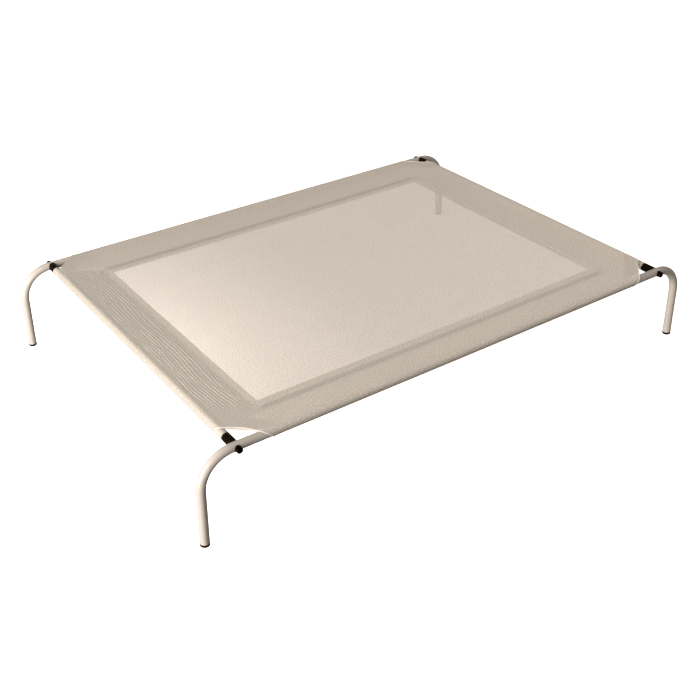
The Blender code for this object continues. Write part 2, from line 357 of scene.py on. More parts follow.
def mesh_cloth(name, colour, alpha):
    """Open woven polyester mesh, on a UV map in metres."""
    material, tree, shader = new_material(name)
    where = add(tree, "ShaderNodeTexCoord").outputs["UV"]
    warp, weft = yarns(tree, where, "X"), yarns(tree, where, "Y")
    crossing = maths(tree, "MAXIMUM", warp, weft)
    speckle = noise_node(tree, where, 330, 3, 0.7)
    mottle = noise_node(tree, where, 26, 4, 0.6)
    tone = maths(
        tree,
        "MULTIPLY",
        remap(tree, crossing, 0.86, 1.06),
        maths(tree, "MULTIPLY", remap(tree, speckle, 0.65, 1.35, 0.3, 0.7), remap(tree, mottle, 0.95, 1.05)),
    )
    tree.links.new(tinted(tree, colour, tone), shader.inputs["Base Color"])
    tree.links.new(remap(tree, crossing, 0.9, 0.68), shader.inputs["Roughness"])
    tree.links.new(bump(tree, crossing, 0.00012, 0.8), shader.inputs["Normal"])
    shader.inputs["Alpha"].default_value = alpha
    shader.inputs["Sheen Weight"].default_value = 0.08
    shader.inputs["Specular IOR Level"].default_value = 0.25
    return material


def thread(name, colour):
    """Twisted polyester thread, or a rolled cloth edge, with fibres that run unevenly."""
    material, tree, shader = new_material(name)
    where = add(tree, "ShaderNodeTexCoord").outputs["Object"]
    fibre = noise_node(tree, where, 2400, 2)
    tree.links.new(tinted(tree, colour, remap(tree, fibre, 0.85, 1.12)), shader.inputs["Base Color"])
    tree.links.new(remap(tree, fibre, 0.55, 0.8), shader.inputs["Roughness"])
    tree.links.new(bump(tree, fibre, 0.00008), shader.inputs["Normal"])
    return material


COAT = powder_coat()
FITTING = moulded_plastic("fitting_nylon", 0.38)
FOOT = moulded_plastic("foot_rubber_like_plastic", 0.5)
OXIDE = plated_metal("bolt_black_oxide", OXIDE_BLACK, 0.42)
ZINC = plated_metal("nut_zinc", (0.60, 0.59, 0.57, 1), 0.36)
MESH = mesh_cloth("cover_mesh_cloth", CLOTH, CLOTH_ALPHA)
# Painted shade between the cloth's layers.
FOLD_SHADE_MESH = mesh_cloth("cover_fold_painted_shade", FOLD_SHADE_CLOTH, 1.0)
# Painted shade along the front and back hems.
PRESSED_SHADE_MESH = mesh_cloth("cover_pressed_shade_cloth", PRESSED_SHADE_CLOTH, CLOTH_ALPHA)
# Painted light: a paler band over the left seam, where the border slopes towards the light from the left.
LIT_BAND_CLOTH = mesh_cloth("cover_painted_light_band", (0.74, 0.66, 0.57, 1), 0.93)
THREAD = thread("cover_thread", (0.72, 0.64, 0.55, 1))
# Painted highlight: the rolled edges and the hanging lip are paler than the cloth.
ROLLED_EDGE_HIGHLIGHT = thread("cover_rolled_edge_highlight", (0.88, 0.80, 0.71, 1))


def finish_piece(obj, slot, *nodes):
    """Rides on the only body and stands for the CAD nodes. The slot is not used."""
    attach(obj, "root")
    if nodes:
        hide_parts(*nodes)
    return obj


# ---------------------------------------------------------------- frame

TUBE_SIDES = 48
BEND_STEPS = 32
BORE_R = 0.0033


def corner_place(end, side):
    """Local Z runs from the rail's axis inwards along the crossbar's axis."""
    turn = Matrix.Rotation(side * math.pi / 2, 4, "X")
    return Matrix.Translation((end * BAR_X, side * RAIL_Y, TUBE_Z)) @ turn


def leg_path():
    """The left leg and bend as (point, direction) in the XZ plane, from the foot to the rail's straight."""
    up = Vector((math.sin(LEG_SPLAY), 0, math.cos(LEG_SPLAY)))
    foot = Vector((-LEG_X, 0, 0))
    corner = foot + up * (TUBE_Z / math.cos(LEG_SPLAY))
    turn = math.pi / 2 - LEG_SPLAY
    bend_start = corner - up * (BEND_R * math.tan(turn / 2))
    centre = bend_start + BEND_R * Vector((math.cos(LEG_SPLAY), 0, -math.sin(LEG_SPLAY)))
    path = [(foot + up * (CAP_HEIGHT + GAP), up)]
    for i in range(BEND_STEPS + 1):
        angle = LEG_SPLAY + turn * i / BEND_STEPS
        outwards = Vector((-math.cos(angle), 0, math.sin(angle)))
        path.append((centre + BEND_R * outwards, Vector((math.sin(angle), 0, math.cos(angle)))))
    return path


def hollow_tube(mesh_data, path, side):
    """A tube with a wall and softened ends along (point, direction), every direction square to side."""
    edge = TUBE_WALL / 3
    (first, start), (last, stop) = path[0], path[-1]
    runs = [(point, direction, 0.0) for point, direction in path]
    runs[0] = (first + start * edge, start, 0.0)
    runs[-1] = (last - stop * edge, stop, 0.0)
    runs = [(first, start, edge), *runs, (last, stop, edge)]
    skins = []
    for radius, sign in ((TUBE_R, -1), (TUBE_R - TUBE_WALL, 1)):
        rings = [
            ring(mesh_data, point, side, direction.cross(side), radius + sign * lip, TUBE_SIDES)
            for point, direction, lip in runs
        ]
        for ring_a, ring_b in zip(rings, rings[1:]):
            bridge(mesh_data, ring_a, ring_b)
        skins.append(rings)
    for end in (0, -1):
        bridge(mesh_data, skins[0][end], skins[1][end])


def make_rail(side):
    offset = Vector((0, side * RAIL_Y, 0))
    left = leg_path()
    right = [
        (Vector((-point.x, 0, point.z)), Vector((direction.x, 0, -direction.z)))
        for point, direction in reversed(left)
    ]
    made = bmesh.new()
    hollow_tube(made, [(p + offset, d) for p, d in left + right], Vector((0, 1, 0)))
    rail = object_from(f"{SIDE_NAME[side]}_rail_tube", made, COAT)
    for end in (LEFT, RIGHT):
        hole = bmesh.new()
        lathe(hole, [(-2 * TUBE_R, BORE_R), (2 * TUBE_R, BORE_R)], corner_place(end, side))
        cut(rail, hole)
    return finish_piece(rail, "frame_paint", f"rail_{SIDE_NAME[side]}")


def make_crossbar(end):
    made = bmesh.new()
    along = Vector((0, 1, 0))
    path = [(Vector((end * BAR_X, y, TUBE_Z)), along) for y in (BAR_LOW.y, BAR_HIGH.y)]
    hollow_tube(made, path, Vector((1, 0, 0)))
    bar = object_from(f"{END_NAME[end]}_crossbar_tube", made, COAT)
    finish_piece(bar, "frame_paint", f"crossbar_{END_NAME[end]}")


def rail_rod(end, side):
    """A rod along the rail's axis, a gap wider than the tube, to cut what sits against the rail."""
    rod = bmesh.new()
    place = corner_place(end, side) @ Matrix.Rotation(math.pi / 2, 4, "Y")
    lathe(rod, [(-2 * TUBE_R, TUBE_R + GAP), (2 * TUBE_R, TUBE_R + GAP)], place, sides=96)
    return rod


def hexagon_r(flats):
    return flats / math.sqrt(3)


COLLAR_START = RAIL_Y - PLUG_HIGH.y  # nearest the rail's axis, measured inwards from it
SPIGOT_END = RAIL_Y - PLUG_LOW.y
COLLAR_END = RAIL_Y - BAR_HIGH.y - GAP
SPIGOT_R = 0.0080
SPIGOT_ROOT_R = SPIGOT_R - 0.0004  # between its ribs
SPIGOT_RIBS = COLLAR_END + 0.003  # where its first rib starts
NUT_POCKET = 0.0056
NUT_POCKET_FLATS = 0.0107
EDGE_R = 0.0006


def ribs(first, root_r, top_r, count, pitch, slope, flat):
    """The profile of ribs round a stem, the first one from first on, each a slope, a flat top and a slope."""
    profile = []
    for i in range(count):
        start = first + i * pitch
        profile += [(start, root_r), (start + slope, top_r), (start + slope + flat, top_r)]
        profile.append((start + 2 * slope + flat, root_r))
    return profile


def make_plug(end, side):
    """A collar that cups the rail, and a ribbed spigot inside the crossbar with a pocket for the nut."""
    profile = [
        (COLLAR_START, BORE_R),
        (COLLAR_START, TUBE_R),
        (COLLAR_END, TUBE_R),
        (COLLAR_END, SPIGOT_ROOT_R),
        *ribs(SPIGOT_RIBS, SPIGOT_ROOT_R, SPIGOT_R, count=4, pitch=0.0035, slope=0.0008, flat=0.0010),
        (SPIGOT_END, SPIGOT_ROOT_R),
        (SPIGOT_END, BORE_R),
    ]
    place = corner_place(end, side)
    made = bmesh.new()
    lathe(made, rounded(profile, EDGE_R), place, hollow=True)
    name = corner_name(end, side)
    plug = object_from(f"corner_plug_{name}", made, FITTING)
    cut(plug, rail_rod(end, side))
    pocket = bmesh.new()
    pocket_r = hexagon_r(NUT_POCKET_FLATS)
    lathe(pocket, [(SPIGOT_END - NUT_POCKET, pocket_r), (SPIGOT_END + TUBE_R, pocket_r)], place, sides=6)
    cut(plug, pocket)
    finish_piece(plug, "fitting_plastic", f"plug_{name}")


WASHER_OUTER = RAIL_Y - WASHER_HIGH.y  # negative: outside the rail
WASHER_INNER = RAIL_Y - WASHER_LOW.y
WASHER_R = (WASHER_HIGH.x - WASHER_LOW.x) / 2
HEAD_OUTER = RAIL_Y - BOLT_HIGH.y
SHANK_END = RAIL_Y - BOLT_LOW.y
HEAD_R = (BOLT_HIGH.x - BOLT_LOW.x) / 2
HEAD_DOME = ((0.0, 0.84), (0.0003, 0.93), (0.0010, 1.0))  # (depth, share of the head's radius)
SHANK_R = 0.0030
THREAD_PITCH = 0.0010
THREAD_DEPTH = 0.0004
THREAD_LENGTH = 0.018
SOCKET_FLATS = 0.0050
SOCKET_DEPTH = 0.0035


def make_washer(end, side):
    profile = [
        (WASHER_OUTER, BORE_R),
        (WASHER_OUTER, WASHER_R),
        (WASHER_INNER, WASHER_R),
        (WASHER_INNER, BORE_R),
    ]
    made = bmesh.new()
    lathe(made, rounded(profile, EDGE_R), corner_place(end, side), hollow=True)
    name = corner_name(end, side)
    washer = object_from(f"saddle_washer_{name}", made, FITTING)
    cut(washer, rail_rod(end, side))
    finish_piece(washer, "fitting_plastic", f"washer_{name}")


def make_bolt(end, side):
    """A domed head with a hexagon socket, and a shank with thread rings at its inner end."""
    seat = WASHER_OUTER - GAP
    shoulder = SHANK_END - THREAD_LENGTH
    rings = []
    for i in range(round(THREAD_LENGTH / THREAD_PITCH)):
        start = shoulder + i * THREAD_PITCH
        rings += [(start, SHANK_R - THREAD_DEPTH), (start + THREAD_PITCH / 2, SHANK_R)]
    profile = [
        *[(HEAD_OUTER + depth, HEAD_R * share) for depth, share in HEAD_DOME],
        (seat, HEAD_R),
        (seat, SHANK_R),
        (shoulder - EDGE_R, SHANK_R),
        *rings,
        (SHANK_END, SHANK_R - 2 * THREAD_DEPTH),
    ]
    place = corner_place(end, side)
    made = bmesh.new()
    lathe(made, profile, place, sides=40)
    name = corner_name(end, side)
    bolt = object_from(f"socket_bolt_{name}", made, OXIDE)
    socket = bmesh.new()
    socket_r = hexagon_r(SOCKET_FLATS)
    lathe(socket, [(HEAD_OUTER - HEAD_R, socket_r), (HEAD_OUTER + SOCKET_DEPTH, socket_r)], place, sides=6)
    cut(bolt, socket)
    finish_piece(bolt, "bolt_black", f"bolt_{name}")


STEM_R = 0.0080
STEM_ROOT_R = STEM_R - 0.0003  # between its ribs
STEM_RIBS = CAP_HEIGHT + 0.002  # where its first rib starts
STEM_TIP_R = STEM_R - 0.0012
STEM_END = 0.016
CAP_TAPER = 0.0004


def make_foot_cap(end, side):
    """A rounded cap level with the floor, on a ribbed stem that goes up into the leg."""
    profile = [
        (0.0, CAP_R * 0.55),
        (0.0, CAP_R - CAP_TAPER),
        (CAP_HEIGHT, CAP_R),
        (CAP_HEIGHT, STEM_ROOT_R),
        *ribs(STEM_RIBS, STEM_ROOT_R, STEM_R, count=3, pitch=0.003, slope=0.0007, flat=0.0009),
        (STEM_END, STEM_TIP_R),
    ]
    lean = Matrix.Rotation(-end * LEG_SPLAY, 4, "Y")
    place = Matrix.Translation((end * LEG_X, side * RAIL_Y, 0)) @ lean
    made = bmesh.new()
    lathe(made, rounded(profile, EDGE_R), place)
    for vertex in made.verts:
        vertex.co.z = max(vertex.co.z, 0.0)
    name = corner_name(end, side)
    cap = object_from(f"tube_foot_{name}", made, FOOT)
    finish_piece(cap, "foot_plastic", f"foot_cap_{name}")


# ---------------------------------------------------------------- cover: plan


def panel_outline(end, side):
    """The cover's cut edge at a corner as (start on the rail, bow of its middle, end on the crossbar)."""
    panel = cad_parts["cover_panel"].data.vertices
    points = {(round(v.co.x, 5), round(v.co.y, 5)) for v in panel if v.co.x * end > 0 and v.co.y * side > 0}
    ordered = [Vector(p) for p in sorted(points, key=lambda p: -abs(p[1]))]
    first, last = ordered[0], ordered[-1]
    middle = ordered[len(ordered) // 2]
    first = Vector((first.x, side * RAIL_Y))
    last = Vector((end * BAR_X, last.y))
    return first, middle - (first + last) / 2, last


def seam_point(end, side):
    """Where the inner edges of two borders meet at a corner, from the two sleeves' own corners."""
    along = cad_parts[f"cover_sleeve_{SIDE_NAME[side]}"].data.vertices
    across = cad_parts[f"cover_sleeve_{END_NAME[end]}"].data.vertices
    y = min(abs(v.co.y) for v in along if v.co.x * end > 0)
    x = min(abs(v.co.x) for v in across if v.co.y * side > 0)
    return Vector((end * x, side * y))


OUTLINE = {corner: panel_outline(*corner) for corner in CORNERS}
SEAM = {corner: seam_point(*corner) for corner in CORNERS}


def cut_edge(end, side, steps, recess=0.0):
    """Points of the cut edge from the rail to the crossbar, or of a line that lies recess further in."""
    first, bow, last = OUTLINE[end, side]
    slide = math.sqrt(2) * recess
    first = first - Vector((end * slide, 0))
    last = last - Vector((0, side * slide))
    return [first.lerp(last, t) + 4 * t * (1 - t) * bow for t in (i / steps for i in range(steps + 1))]


def deck_height(x, y):
    """The height of the stretched cloth: level over the tubes, a little lower in the middle."""
    across = 1 - (x / BAR_X) ** 2
    along = 1 - (y / RAIL_Y) ** 2
    return TUBE_Z + CLOTH_R - SAG * max(across, 0.0) ** 0.8 * max(along, 0.0) ** 0.8


RIPPLE_PITCH = 0.0068
RIPPLE_HEIGHT = 0.00070
RIPPLE_START = 0.004  # inwards from the crossbar's axis
RIPPLE_CLEARANCE = 0.122  # from a rail's axis to where the ripples beside the crossbar begin
CREST_WIDTH = 0.13  # of a ripple, as a share of the pitch
CREASE_WIDTH = 0.0035


def pattern(x, y, x_rate, y_rate, seed):
    """Smooth noise from -1 to 1, stretched by its two rates."""
    return noise.noise(Vector((x * x_rate, y * y_rate, seed)))


def from_rails(y):
    """The distance to the nearer rail's axis."""
    return min(RAIL_Y + y, RAIL_Y - y)


def ripples(x, y):
    """Long thin puckers in the left border, parallel to the crossbar, broken up and wavy."""
    inwards = BAR_X + x
    reach = BAR_X + SEAM[LEFT, FRONT].x - HEM_START
    if not RIPPLE_START < inwards < reach:
        return 0.0
    fade = min(max((from_rails(y) + 0.6 * inwards - RIPPLE_CLEARANCE) / 0.020, 0.0), 1.0)
    fade *= min((inwards - RIPPLE_START) / 0.006, 1.0) * min((reach - inwards) / 0.008, 1.0)
    front = 0.95 - 0.35 * y / RAIL_Y  # higher and wavier towards the front
    wander = (0.4 + 1.5 * front) * pattern(inwards, y, 9, 6, 3.1) + 0.30 * pattern(inwards, y, 50, 24, 7.7)
    phase = inwards / RIPPLE_PITCH + wander
    crest = math.exp(-((((phase % 1.0) - 0.5) / CREST_WIDTH) ** 2))
    row = math.floor(phase)
    broken = pattern(row, y, 5.3, 14, 1.9) + 0.45 * pattern(row, y, 2.1, 60, 4.4)
    return RIPPLE_HEIGHT * crest * fade * front * min(max(0.85 + 1.6 * broken, 0.0), 1.4)


def border_drop(x, y):
    """The left border hangs a little: it drops beside the tube and comes up in a crease and a slope."""
    inwards = BAR_X + x
    seam = BAR_X + SEAM[LEFT, FRONT].x
    if not 0.0 < inwards < seam:
        return 0.0
    past_stitches = inwards - seam + ALLOWANCE
    crease = smooth_step((past_stitches + 0.002) / CREASE_WIDTH)
    slope = min(max(past_stitches / ALLOWANCE, 0.0), 1.0)
    share = smooth_step((inwards - 0.002) / 0.010) - 0.35 * crease - 0.65 * slope
    fade = smooth_step((from_rails(y) - 0.050 - 0.5 * inwards) / 0.020)
    return -BORDER_DROP * share * fade


def slack(x, y):
    """Slow unevenness of the stretched cloth."""
    return 0.00030 * pattern(x, y, 9, 9, 0.4) + 0.00008 * pattern(x, y, 60, 60, 5.0)


# ---------------------------------------------------------------- cover: cloth

CUT_STEPS = 14
STRAIGHT_ROWS = 130
FINE_COLUMNS = 140  # over the left border
FINE_REACH = 0.11
COLUMNS = 74  # over the rest
WRAP_STEPS = 24
FLAP_STEPS = 12
LIFT_EDGE = 0.012  # the lower layer's rise grows to its full height over this way in from the tube
TOLERANCE = 1e-5


def columns():
    """Shares of the way from the left edge to the right: close together over the left border, then wider."""
    fine = FINE_REACH / (2 * BAR_X)
    near = [fine * i / FINE_COLUMNS for i in range(FINE_COLUMNS)]
    return near + [fine + (1 - fine) * i / COLUMNS for i in range(COLUMNS + 1)]


def edge_rows(end):
    """The panel's left or right edge from the front rail to the back rail."""
    front = cut_edge(end, FRONT, CUT_STEPS)
    back = cut_edge(end, BACK, CUT_STEPS)[::-1]
    straight = [front[-1].lerp(back[0], i / STRAIGHT_ROWS) for i in range(1, STRAIGHT_ROWS)]
    return front + straight + back


def wrapped(distance, reach):
    """A point of a sleeve's section (inwards from the tube's axis, above it), and its way round the tube.

    A distance of 0 to 1 goes from the top round the outer side to where the cloth leaves the tube, and
    1 to 2 from there straight up to the seam, at the distance reach.
    """
    top = CLOTH_R - LAYER
    leaves = 2 * math.pi + math.atan2(top, reach) - math.acos(CLOTH_R / math.hypot(reach, top))
    if distance <= 1:
        turned = (leaves - math.pi / 2) * distance
        angle = math.pi / 2 + turned
        return CLOTH_R * Vector((math.cos(angle), math.sin(angle))), CLOTH_R * turned
    tangent = CLOTH_R * Vector((math.cos(leaves), math.sin(leaves)))
    return tangent.lerp(Vector((reach, top)), distance - 1), SLIDE


def sleeve_stops(corner, along_rail):
    """Points (inwards, along) where the lower layer ends: its cut from the tube's axis on, then the mitre."""
    edge = cut_edge(*corner, 2 * CUT_STEPS, RECESS)
    if not along_rail:
        edge = edge[::-1]
    points = [(BAR_X - abs(p.x), RAIL_Y - abs(p.y)) for p in [*edge[: CUT_STEPS + 1], SEAM[corner]]]
    if along_rail:
        points = [(inwards, along) for along, inwards in points]
    return points


def sleeve_end(stops, inwards, round_tube, wrapped_part):
    """How far along the tube the sleeve ends. Its cut goes on at 45 degrees where the cloth turns down."""
    if wrapped_part:
        return stops[0][1] - SLIDE + min(round_tube, SLIDE)
    for (low, first), (high, last) in zip(stops, stops[1:]):
        if inwards <= high:
            return first + (last - first) * (inwards - low) / (high - low)
    return stops[-1][1]


def smooth_step(value):
    value = min(max(value, 0.0), 1.0)
    return value * value * (3 - 2 * value)


def lifted(corner, x, y, inwards, height):
    """The lower layer's height where it rises to the upper layer's edge beside a corner's cut."""
    first, bow, last = OUTLINE[corner]
    middle = (first + last) / 2
    inside = (-middle).normalized()
    chord = (last - first).normalized()
    normal = Vector((-chord.y, chord.x))
    if normal.dot(inside) < 0:
        normal = -normal
    depth = (Vector((x, y)) - middle).dot(normal) - bow.dot(normal) - RECESS
    share = smooth_step(1 - depth / LIFT_REACH) * smooth_step((inwards - CLOTH_R) / LIFT_EDGE)
    return height + (CLOTH_R - LIFT_GAP - height) * share


def border_corners(along_rail, sign):
    """The two corners that a border runs between, the left or front one first."""
    if along_rail:
        return (LEFT, sign), (RIGHT, sign)
    return (sign, FRONT), (sign, BACK)


def sleeve_rows(mesh_data, along_rail, sign, shares, first_row):
    """Makes a sleeve, and returns its rows of vertices from the panel's edge to the seam."""
    corners = border_corners(along_rail, sign)
    length = BAR_X if along_rail else RAIL_Y
    stops = [sleeve_stops(corner, along_rail) for corner in corners]
    rows = [first_row]
    steps = [i / WRAP_STEPS for i in range(1, WRAP_STEPS + 1)]
    steps += [1 + i / FLAP_STEPS for i in range(1, FLAP_STEPS + 1)]
    for distance in steps:
        row = []
        for share in shares:
            reach = stops[0][-1][0] + (stops[1][-1][0] - stops[0][-1][0]) * share
            (inwards, height), round_tube = wrapped(distance, reach)
            low, high = (sleeve_end(stop, inwards, round_tube, distance <= 1) for stop in stops)
            along = -length + low + (2 * length - low - high) * share
            if along_rail:
                x, y = along, sign * (RAIL_Y - inwards)
            else:
                x, y = sign * (BAR_X - inwards), along
            sagged = deck_height(x, y) - TUBE_Z - CLOTH_R if inwards > 0 else 0.0
            if distance > 1:
                height = lifted(corners[share > 0.5], x, y, inwards, height)
            rise = (height + CLOTH_R) / (2 * CLOTH_R)
            row.append(mesh_data.verts.new((x, y, TUBE_Z + height + sagged * rise)))
        rows.append(row)
    for first, second in zip(rows, rows[1:]):
        bridge(mesh_data, first, second, closed=False)
    return rows


def opening_loop(corner, sleeves):
    """The closed edge of the cloth at a corner: the cut on top, and the sleeves' ends to the lower cut."""
    end, side = corner
    halves = []
    for along_rail, sign in ((True, side), (False, end)):
        column = 0 if (end if along_rail else side) < 0 else -1
        points = [row[column].co.copy() for row in sleeves[along_rail, sign]]
        limit = sleeve_stops(corner, along_rail)[-2][0]
        axis, index = (RAIL_Y, 1) if along_rail else (BAR_X, 0)
        halves.append([p for p in points if axis - abs(p[index]) <= limit + TOLERANCE])
    rail_half, bar_half = halves
    top = [Vector((x, y, deck_height(x, y))) for x, y in cut_edge(end, side, 2 * CUT_STEPS)]
    return top[1:-1] + bar_half + rail_half[::-1]


def unroll(obj):
    """A UV map in metres, in which each face is seen along the axis that it faces most."""
    mesh = obj.data
    layer = mesh.uv_layers.new(name="unrolled")
    for face in mesh.polygons:
        normal = face.normal
        for index in face.loop_indices:
            point = mesh.vertices[mesh.loops[index].vertex_index].co
            if abs(normal.z) > 0.7:
                layer.data[index].uv = (point.x, point.y)
            elif abs(normal.y) > abs(normal.x):
                layer.data[index].uv = (point.x, point.z)
            else:
                layer.data[index].uv = (point.z, point.y)


def make_cover():
    """One cloth: the top with ripples and sag, and from its edges the four sleeves that turn back under."""
    made = bmesh.new()
    shares = columns()
    left, right = edge_rows(LEFT), edge_rows(RIGHT)
    grid = []
    for start, stop in zip(left, right):
        row = []
        for share in shares:
            x, y = start.lerp(stop, share)
            lift = ripples(x, y) + border_drop(x, y) + slack(x, y)
            row.append(made.verts.new((x, y, deck_height(x, y) + lift)))
        grid.append(row)
    for first, second in zip(grid, grid[1:]):
        bridge(made, first, second, closed=False)

    straight = range(CUT_STEPS, CUT_STEPS + STRAIGHT_ROWS + 1)
    along = [(i - CUT_STEPS) / STRAIGHT_ROWS for i in straight]
    sleeves = {
        (True, FRONT): sleeve_rows(made, True, FRONT, shares, grid[0]),
        (True, BACK): sleeve_rows(made, True, BACK, shares, grid[-1]),
        (False, LEFT): sleeve_rows(made, False, LEFT, along, [grid[i][0] for i in straight]),
        (False, RIGHT): sleeve_rows(made, False, RIGHT, along, [grid[i][-1] for i in straight]),
    }
    loops = {corner: opening_loop(corner, sleeves) for corner in CORNERS}
    cover = object_from("mesh_cover", made, MESH)
    cover.visible_shadow = False  # under soft light the open mesh throws no clear shadow on a white floor
    unroll(cover)
    nodes = ["cover_panel"] + [f"cover_sleeve_{n}" for n in ("front", "back", "left", "right")]
    return finish_piece(cover, "mesh_fabric", *nodes), loops


# ---------------------------------------------------------------- cover: hems, stitches and rims

STRIP_ROWS, STRIP_STEPS = 6, 160
FOLD_ROWS, FOLD_STEPS = 6, 36
LIP_ROWS, LIP_STEPS = 4, 90


def border_line(along_rail, sign, outside):
    """The two ends of the line that runs this far outside a border's inner edge, mitred at the corners."""
    return [SEAM[corner] + outside * Vector(corner) for corner in border_corners(along_rail, sign)]


def clear_of_cut(point, along_rail):
    """The end of a strip's line, drawn back along it where it would reach a corner's cut."""
    short = CUT_REACH - (BAR_X - abs(point.x)) - (RAIL_Y - abs(point.y))
    if short <= 0:
        return point
    if along_rail:
        return point - Vector((math.copysign(short, point.x), 0))
    return point - Vector((0, math.copysign(short, point.y)))


def make_strip(name, material, along_rail, sign, start, width, lift, short=0.0):
    """A strip of cloth along a border, from start outside its inner edge on, this far above the top layer."""
    rows = []
    for i in range(STRIP_ROWS + 1):
        ends = border_line(along_rail, sign, start + width * i / STRIP_ROWS)
        first, last = (clear_of_cut(point, along_rail) for point in ends)
        drawn_in = short * (last - first).normalized()
        first, last = first + drawn_in, last - drawn_in
        row = []
        for k in range(STRIP_STEPS + 1):
            x, y = first.lerp(last, k / STRIP_STEPS)
            row.append((x, y, deck_height(x, y) + border_drop(x, y) + slack(x, y) + lift))
        rows.append(row)
    strip = surface(f"cover_{name}", rows, material)
    unroll(strip)
    return finish_piece(strip, "mesh_fabric")


def make_strips():
    """Hems folded under the top layer, those at the front and back dark as painted shade, a dark sheet under
    the left border as painted shade, the lines pressed into the top over two hems and darkened as painted
    shade, and a paler band over the left seam as painted light.
    """
    strips = []
    for side in (FRONT, BACK):
        name = SIDE_NAME[side]
        strips.append(make_strip(f"hem_{name}", FOLD_SHADE_MESH, True, side, HEM_START, HEM, -2.2 * LAYER))
        # The pressed lines are darker than the cloth: painted shade.
        pressed = (f"pressed_line_{name}", PRESSED_SHADE_MESH, True, side, HEM_START, HEM, ON_TOP)
        strips.append(make_strip(*pressed, short=PRESSED_SHORT))
    strips.append(make_strip("hem_right", MESH, False, RIGHT, HEM_START, HEM, -2.2 * LAYER))
    # The dark sheet under the left border is painted shade.
    strips.append(make_strip("hem_left_painted_shade", FOLD_SHADE_MESH, False, LEFT, ALLOWANCE, LEFT_HEM, -1.4 * LAYER))
    # The paler band over the left seam is painted light.
    strips.append(make_strip("seam_lit_band", LIT_BAND_CLOTH, False, LEFT, 0.0002, ALLOWANCE - 0.001, ON_TOP))
    return strips


def make_corner_fold(end, side):
    """The corner of the cloth, folded under along its cut, directly below the upper layer; its dark colour is
    painted shade.
    """
    limit = Vector((BAR_X, RAIL_Y)) - 0.7 * Vector((CLOTH_R, CLOTH_R))
    rows = []
    for i in range(FOLD_ROWS + 1):
        row = []
        for point in cut_edge(end, side, FOLD_STEPS, FOLD_START + FOLD_WIDTH * i / FOLD_ROWS):
            x = end * min(abs(point.x), limit.x)
            y = side * min(abs(point.y), limit.y)
            row.append((x, y, deck_height(x, y) + slack(x, y) - LAYER * (0.7 + 0.1 * i)))
        rows.append(row)
    fold = surface(f"cover_fold_{corner_name(end, side)}", rows, FOLD_SHADE_MESH)
    unroll(fold)
    return finish_piece(fold, "mesh_fabric")


def make_lip(end, side):
    """A cut edge that has stretched: a narrow frayed band that hangs from it, deepest in the middle, painted
    pale as a highlight.
    """
    edge = cut_edge(end, side, LIP_STEPS)
    outwards = Vector((end, side)).normalized()
    rows = []
    for i in range(LIP_ROWS + 1):
        row = []
        for k, (x, y) in enumerate(edge):
            t = k / LIP_STEPS
            depth = LIP_DEPTH * (4 * t * (1 - t)) ** 0.6
            depth *= 1 + 0.16 * pattern(x, y, 70, 70, 2.2) + 0.10 * pattern(x, y, 400, 400, 8.8)
            drop = depth * i / LIP_ROWS
            away = LIP_LEAN * drop * outwards
            row.append((x + away.x, y + away.y, deck_height(x, y) - drop))
        rows.append(row)
    lip = surface(f"cover_lip_{corner_name(end, side)}", rows, ROLLED_EDGE_HIGHLIGHT)
    return finish_piece(lip, "mesh_fabric")


def make_stitches():
    """Lockstitches on the cloth along the four seams, each a short thread that dips in at both ends."""
    made = bmesh.new()
    for along_rail, sign in ((True, FRONT), (True, BACK), (False, LEFT), (False, RIGHT)):
        first, last = border_line(along_rail, sign, ALLOWANCE)
        length = (last - first).length
        count = int(length / STITCH_PITCH)
        for k in range(count):
            middle = (k + 0.5) * STITCH_PITCH
            path = []
            for share, sink in STITCH_SHAPE:
                x, y = first.lerp(last, (middle + share * STITCH_LENGTH) / length)
                z = deck_height(x, y) + slack(x, y) + STITCH_R * (0.6 - sink)
                path.append(Vector((x, y, z)))
            sweep(made, path, STITCH_R, 6)
    return finish_piece(object_from("cover_stitches", made, THREAD), "mesh_fabric")


def make_rims(loops):
    """The heat-sealed, rolled edge round each corner opening, painted paler than the cloth as a highlight
    along it.
    """
    pieces = []
    for corner, loop in loops.items():
        made = bmesh.new()
        radius = STRETCHED_RIM_R if corner == (LEFT, FRONT) else RIM_R
        sweep(made, loop, radius, 10, closed=True)
        rim = object_from(f"cover_rim_{corner_name(*corner)}", made, ROLLED_EDGE_HIGHLIGHT)
        pieces.append(finish_piece(rim, "mesh_fabric"))
    return pieces


# ---------------------------------------------------------------- floor, light and camera


FLOOR_R, BACKDROP_R = 38, 40
POOL_PLACE = (-0.42, 0.25, 0)  # a painted pool of light on the floor
POOL_SIZE = (0.62, 1.10, 1)
POOL_STRENGTH = 4.4


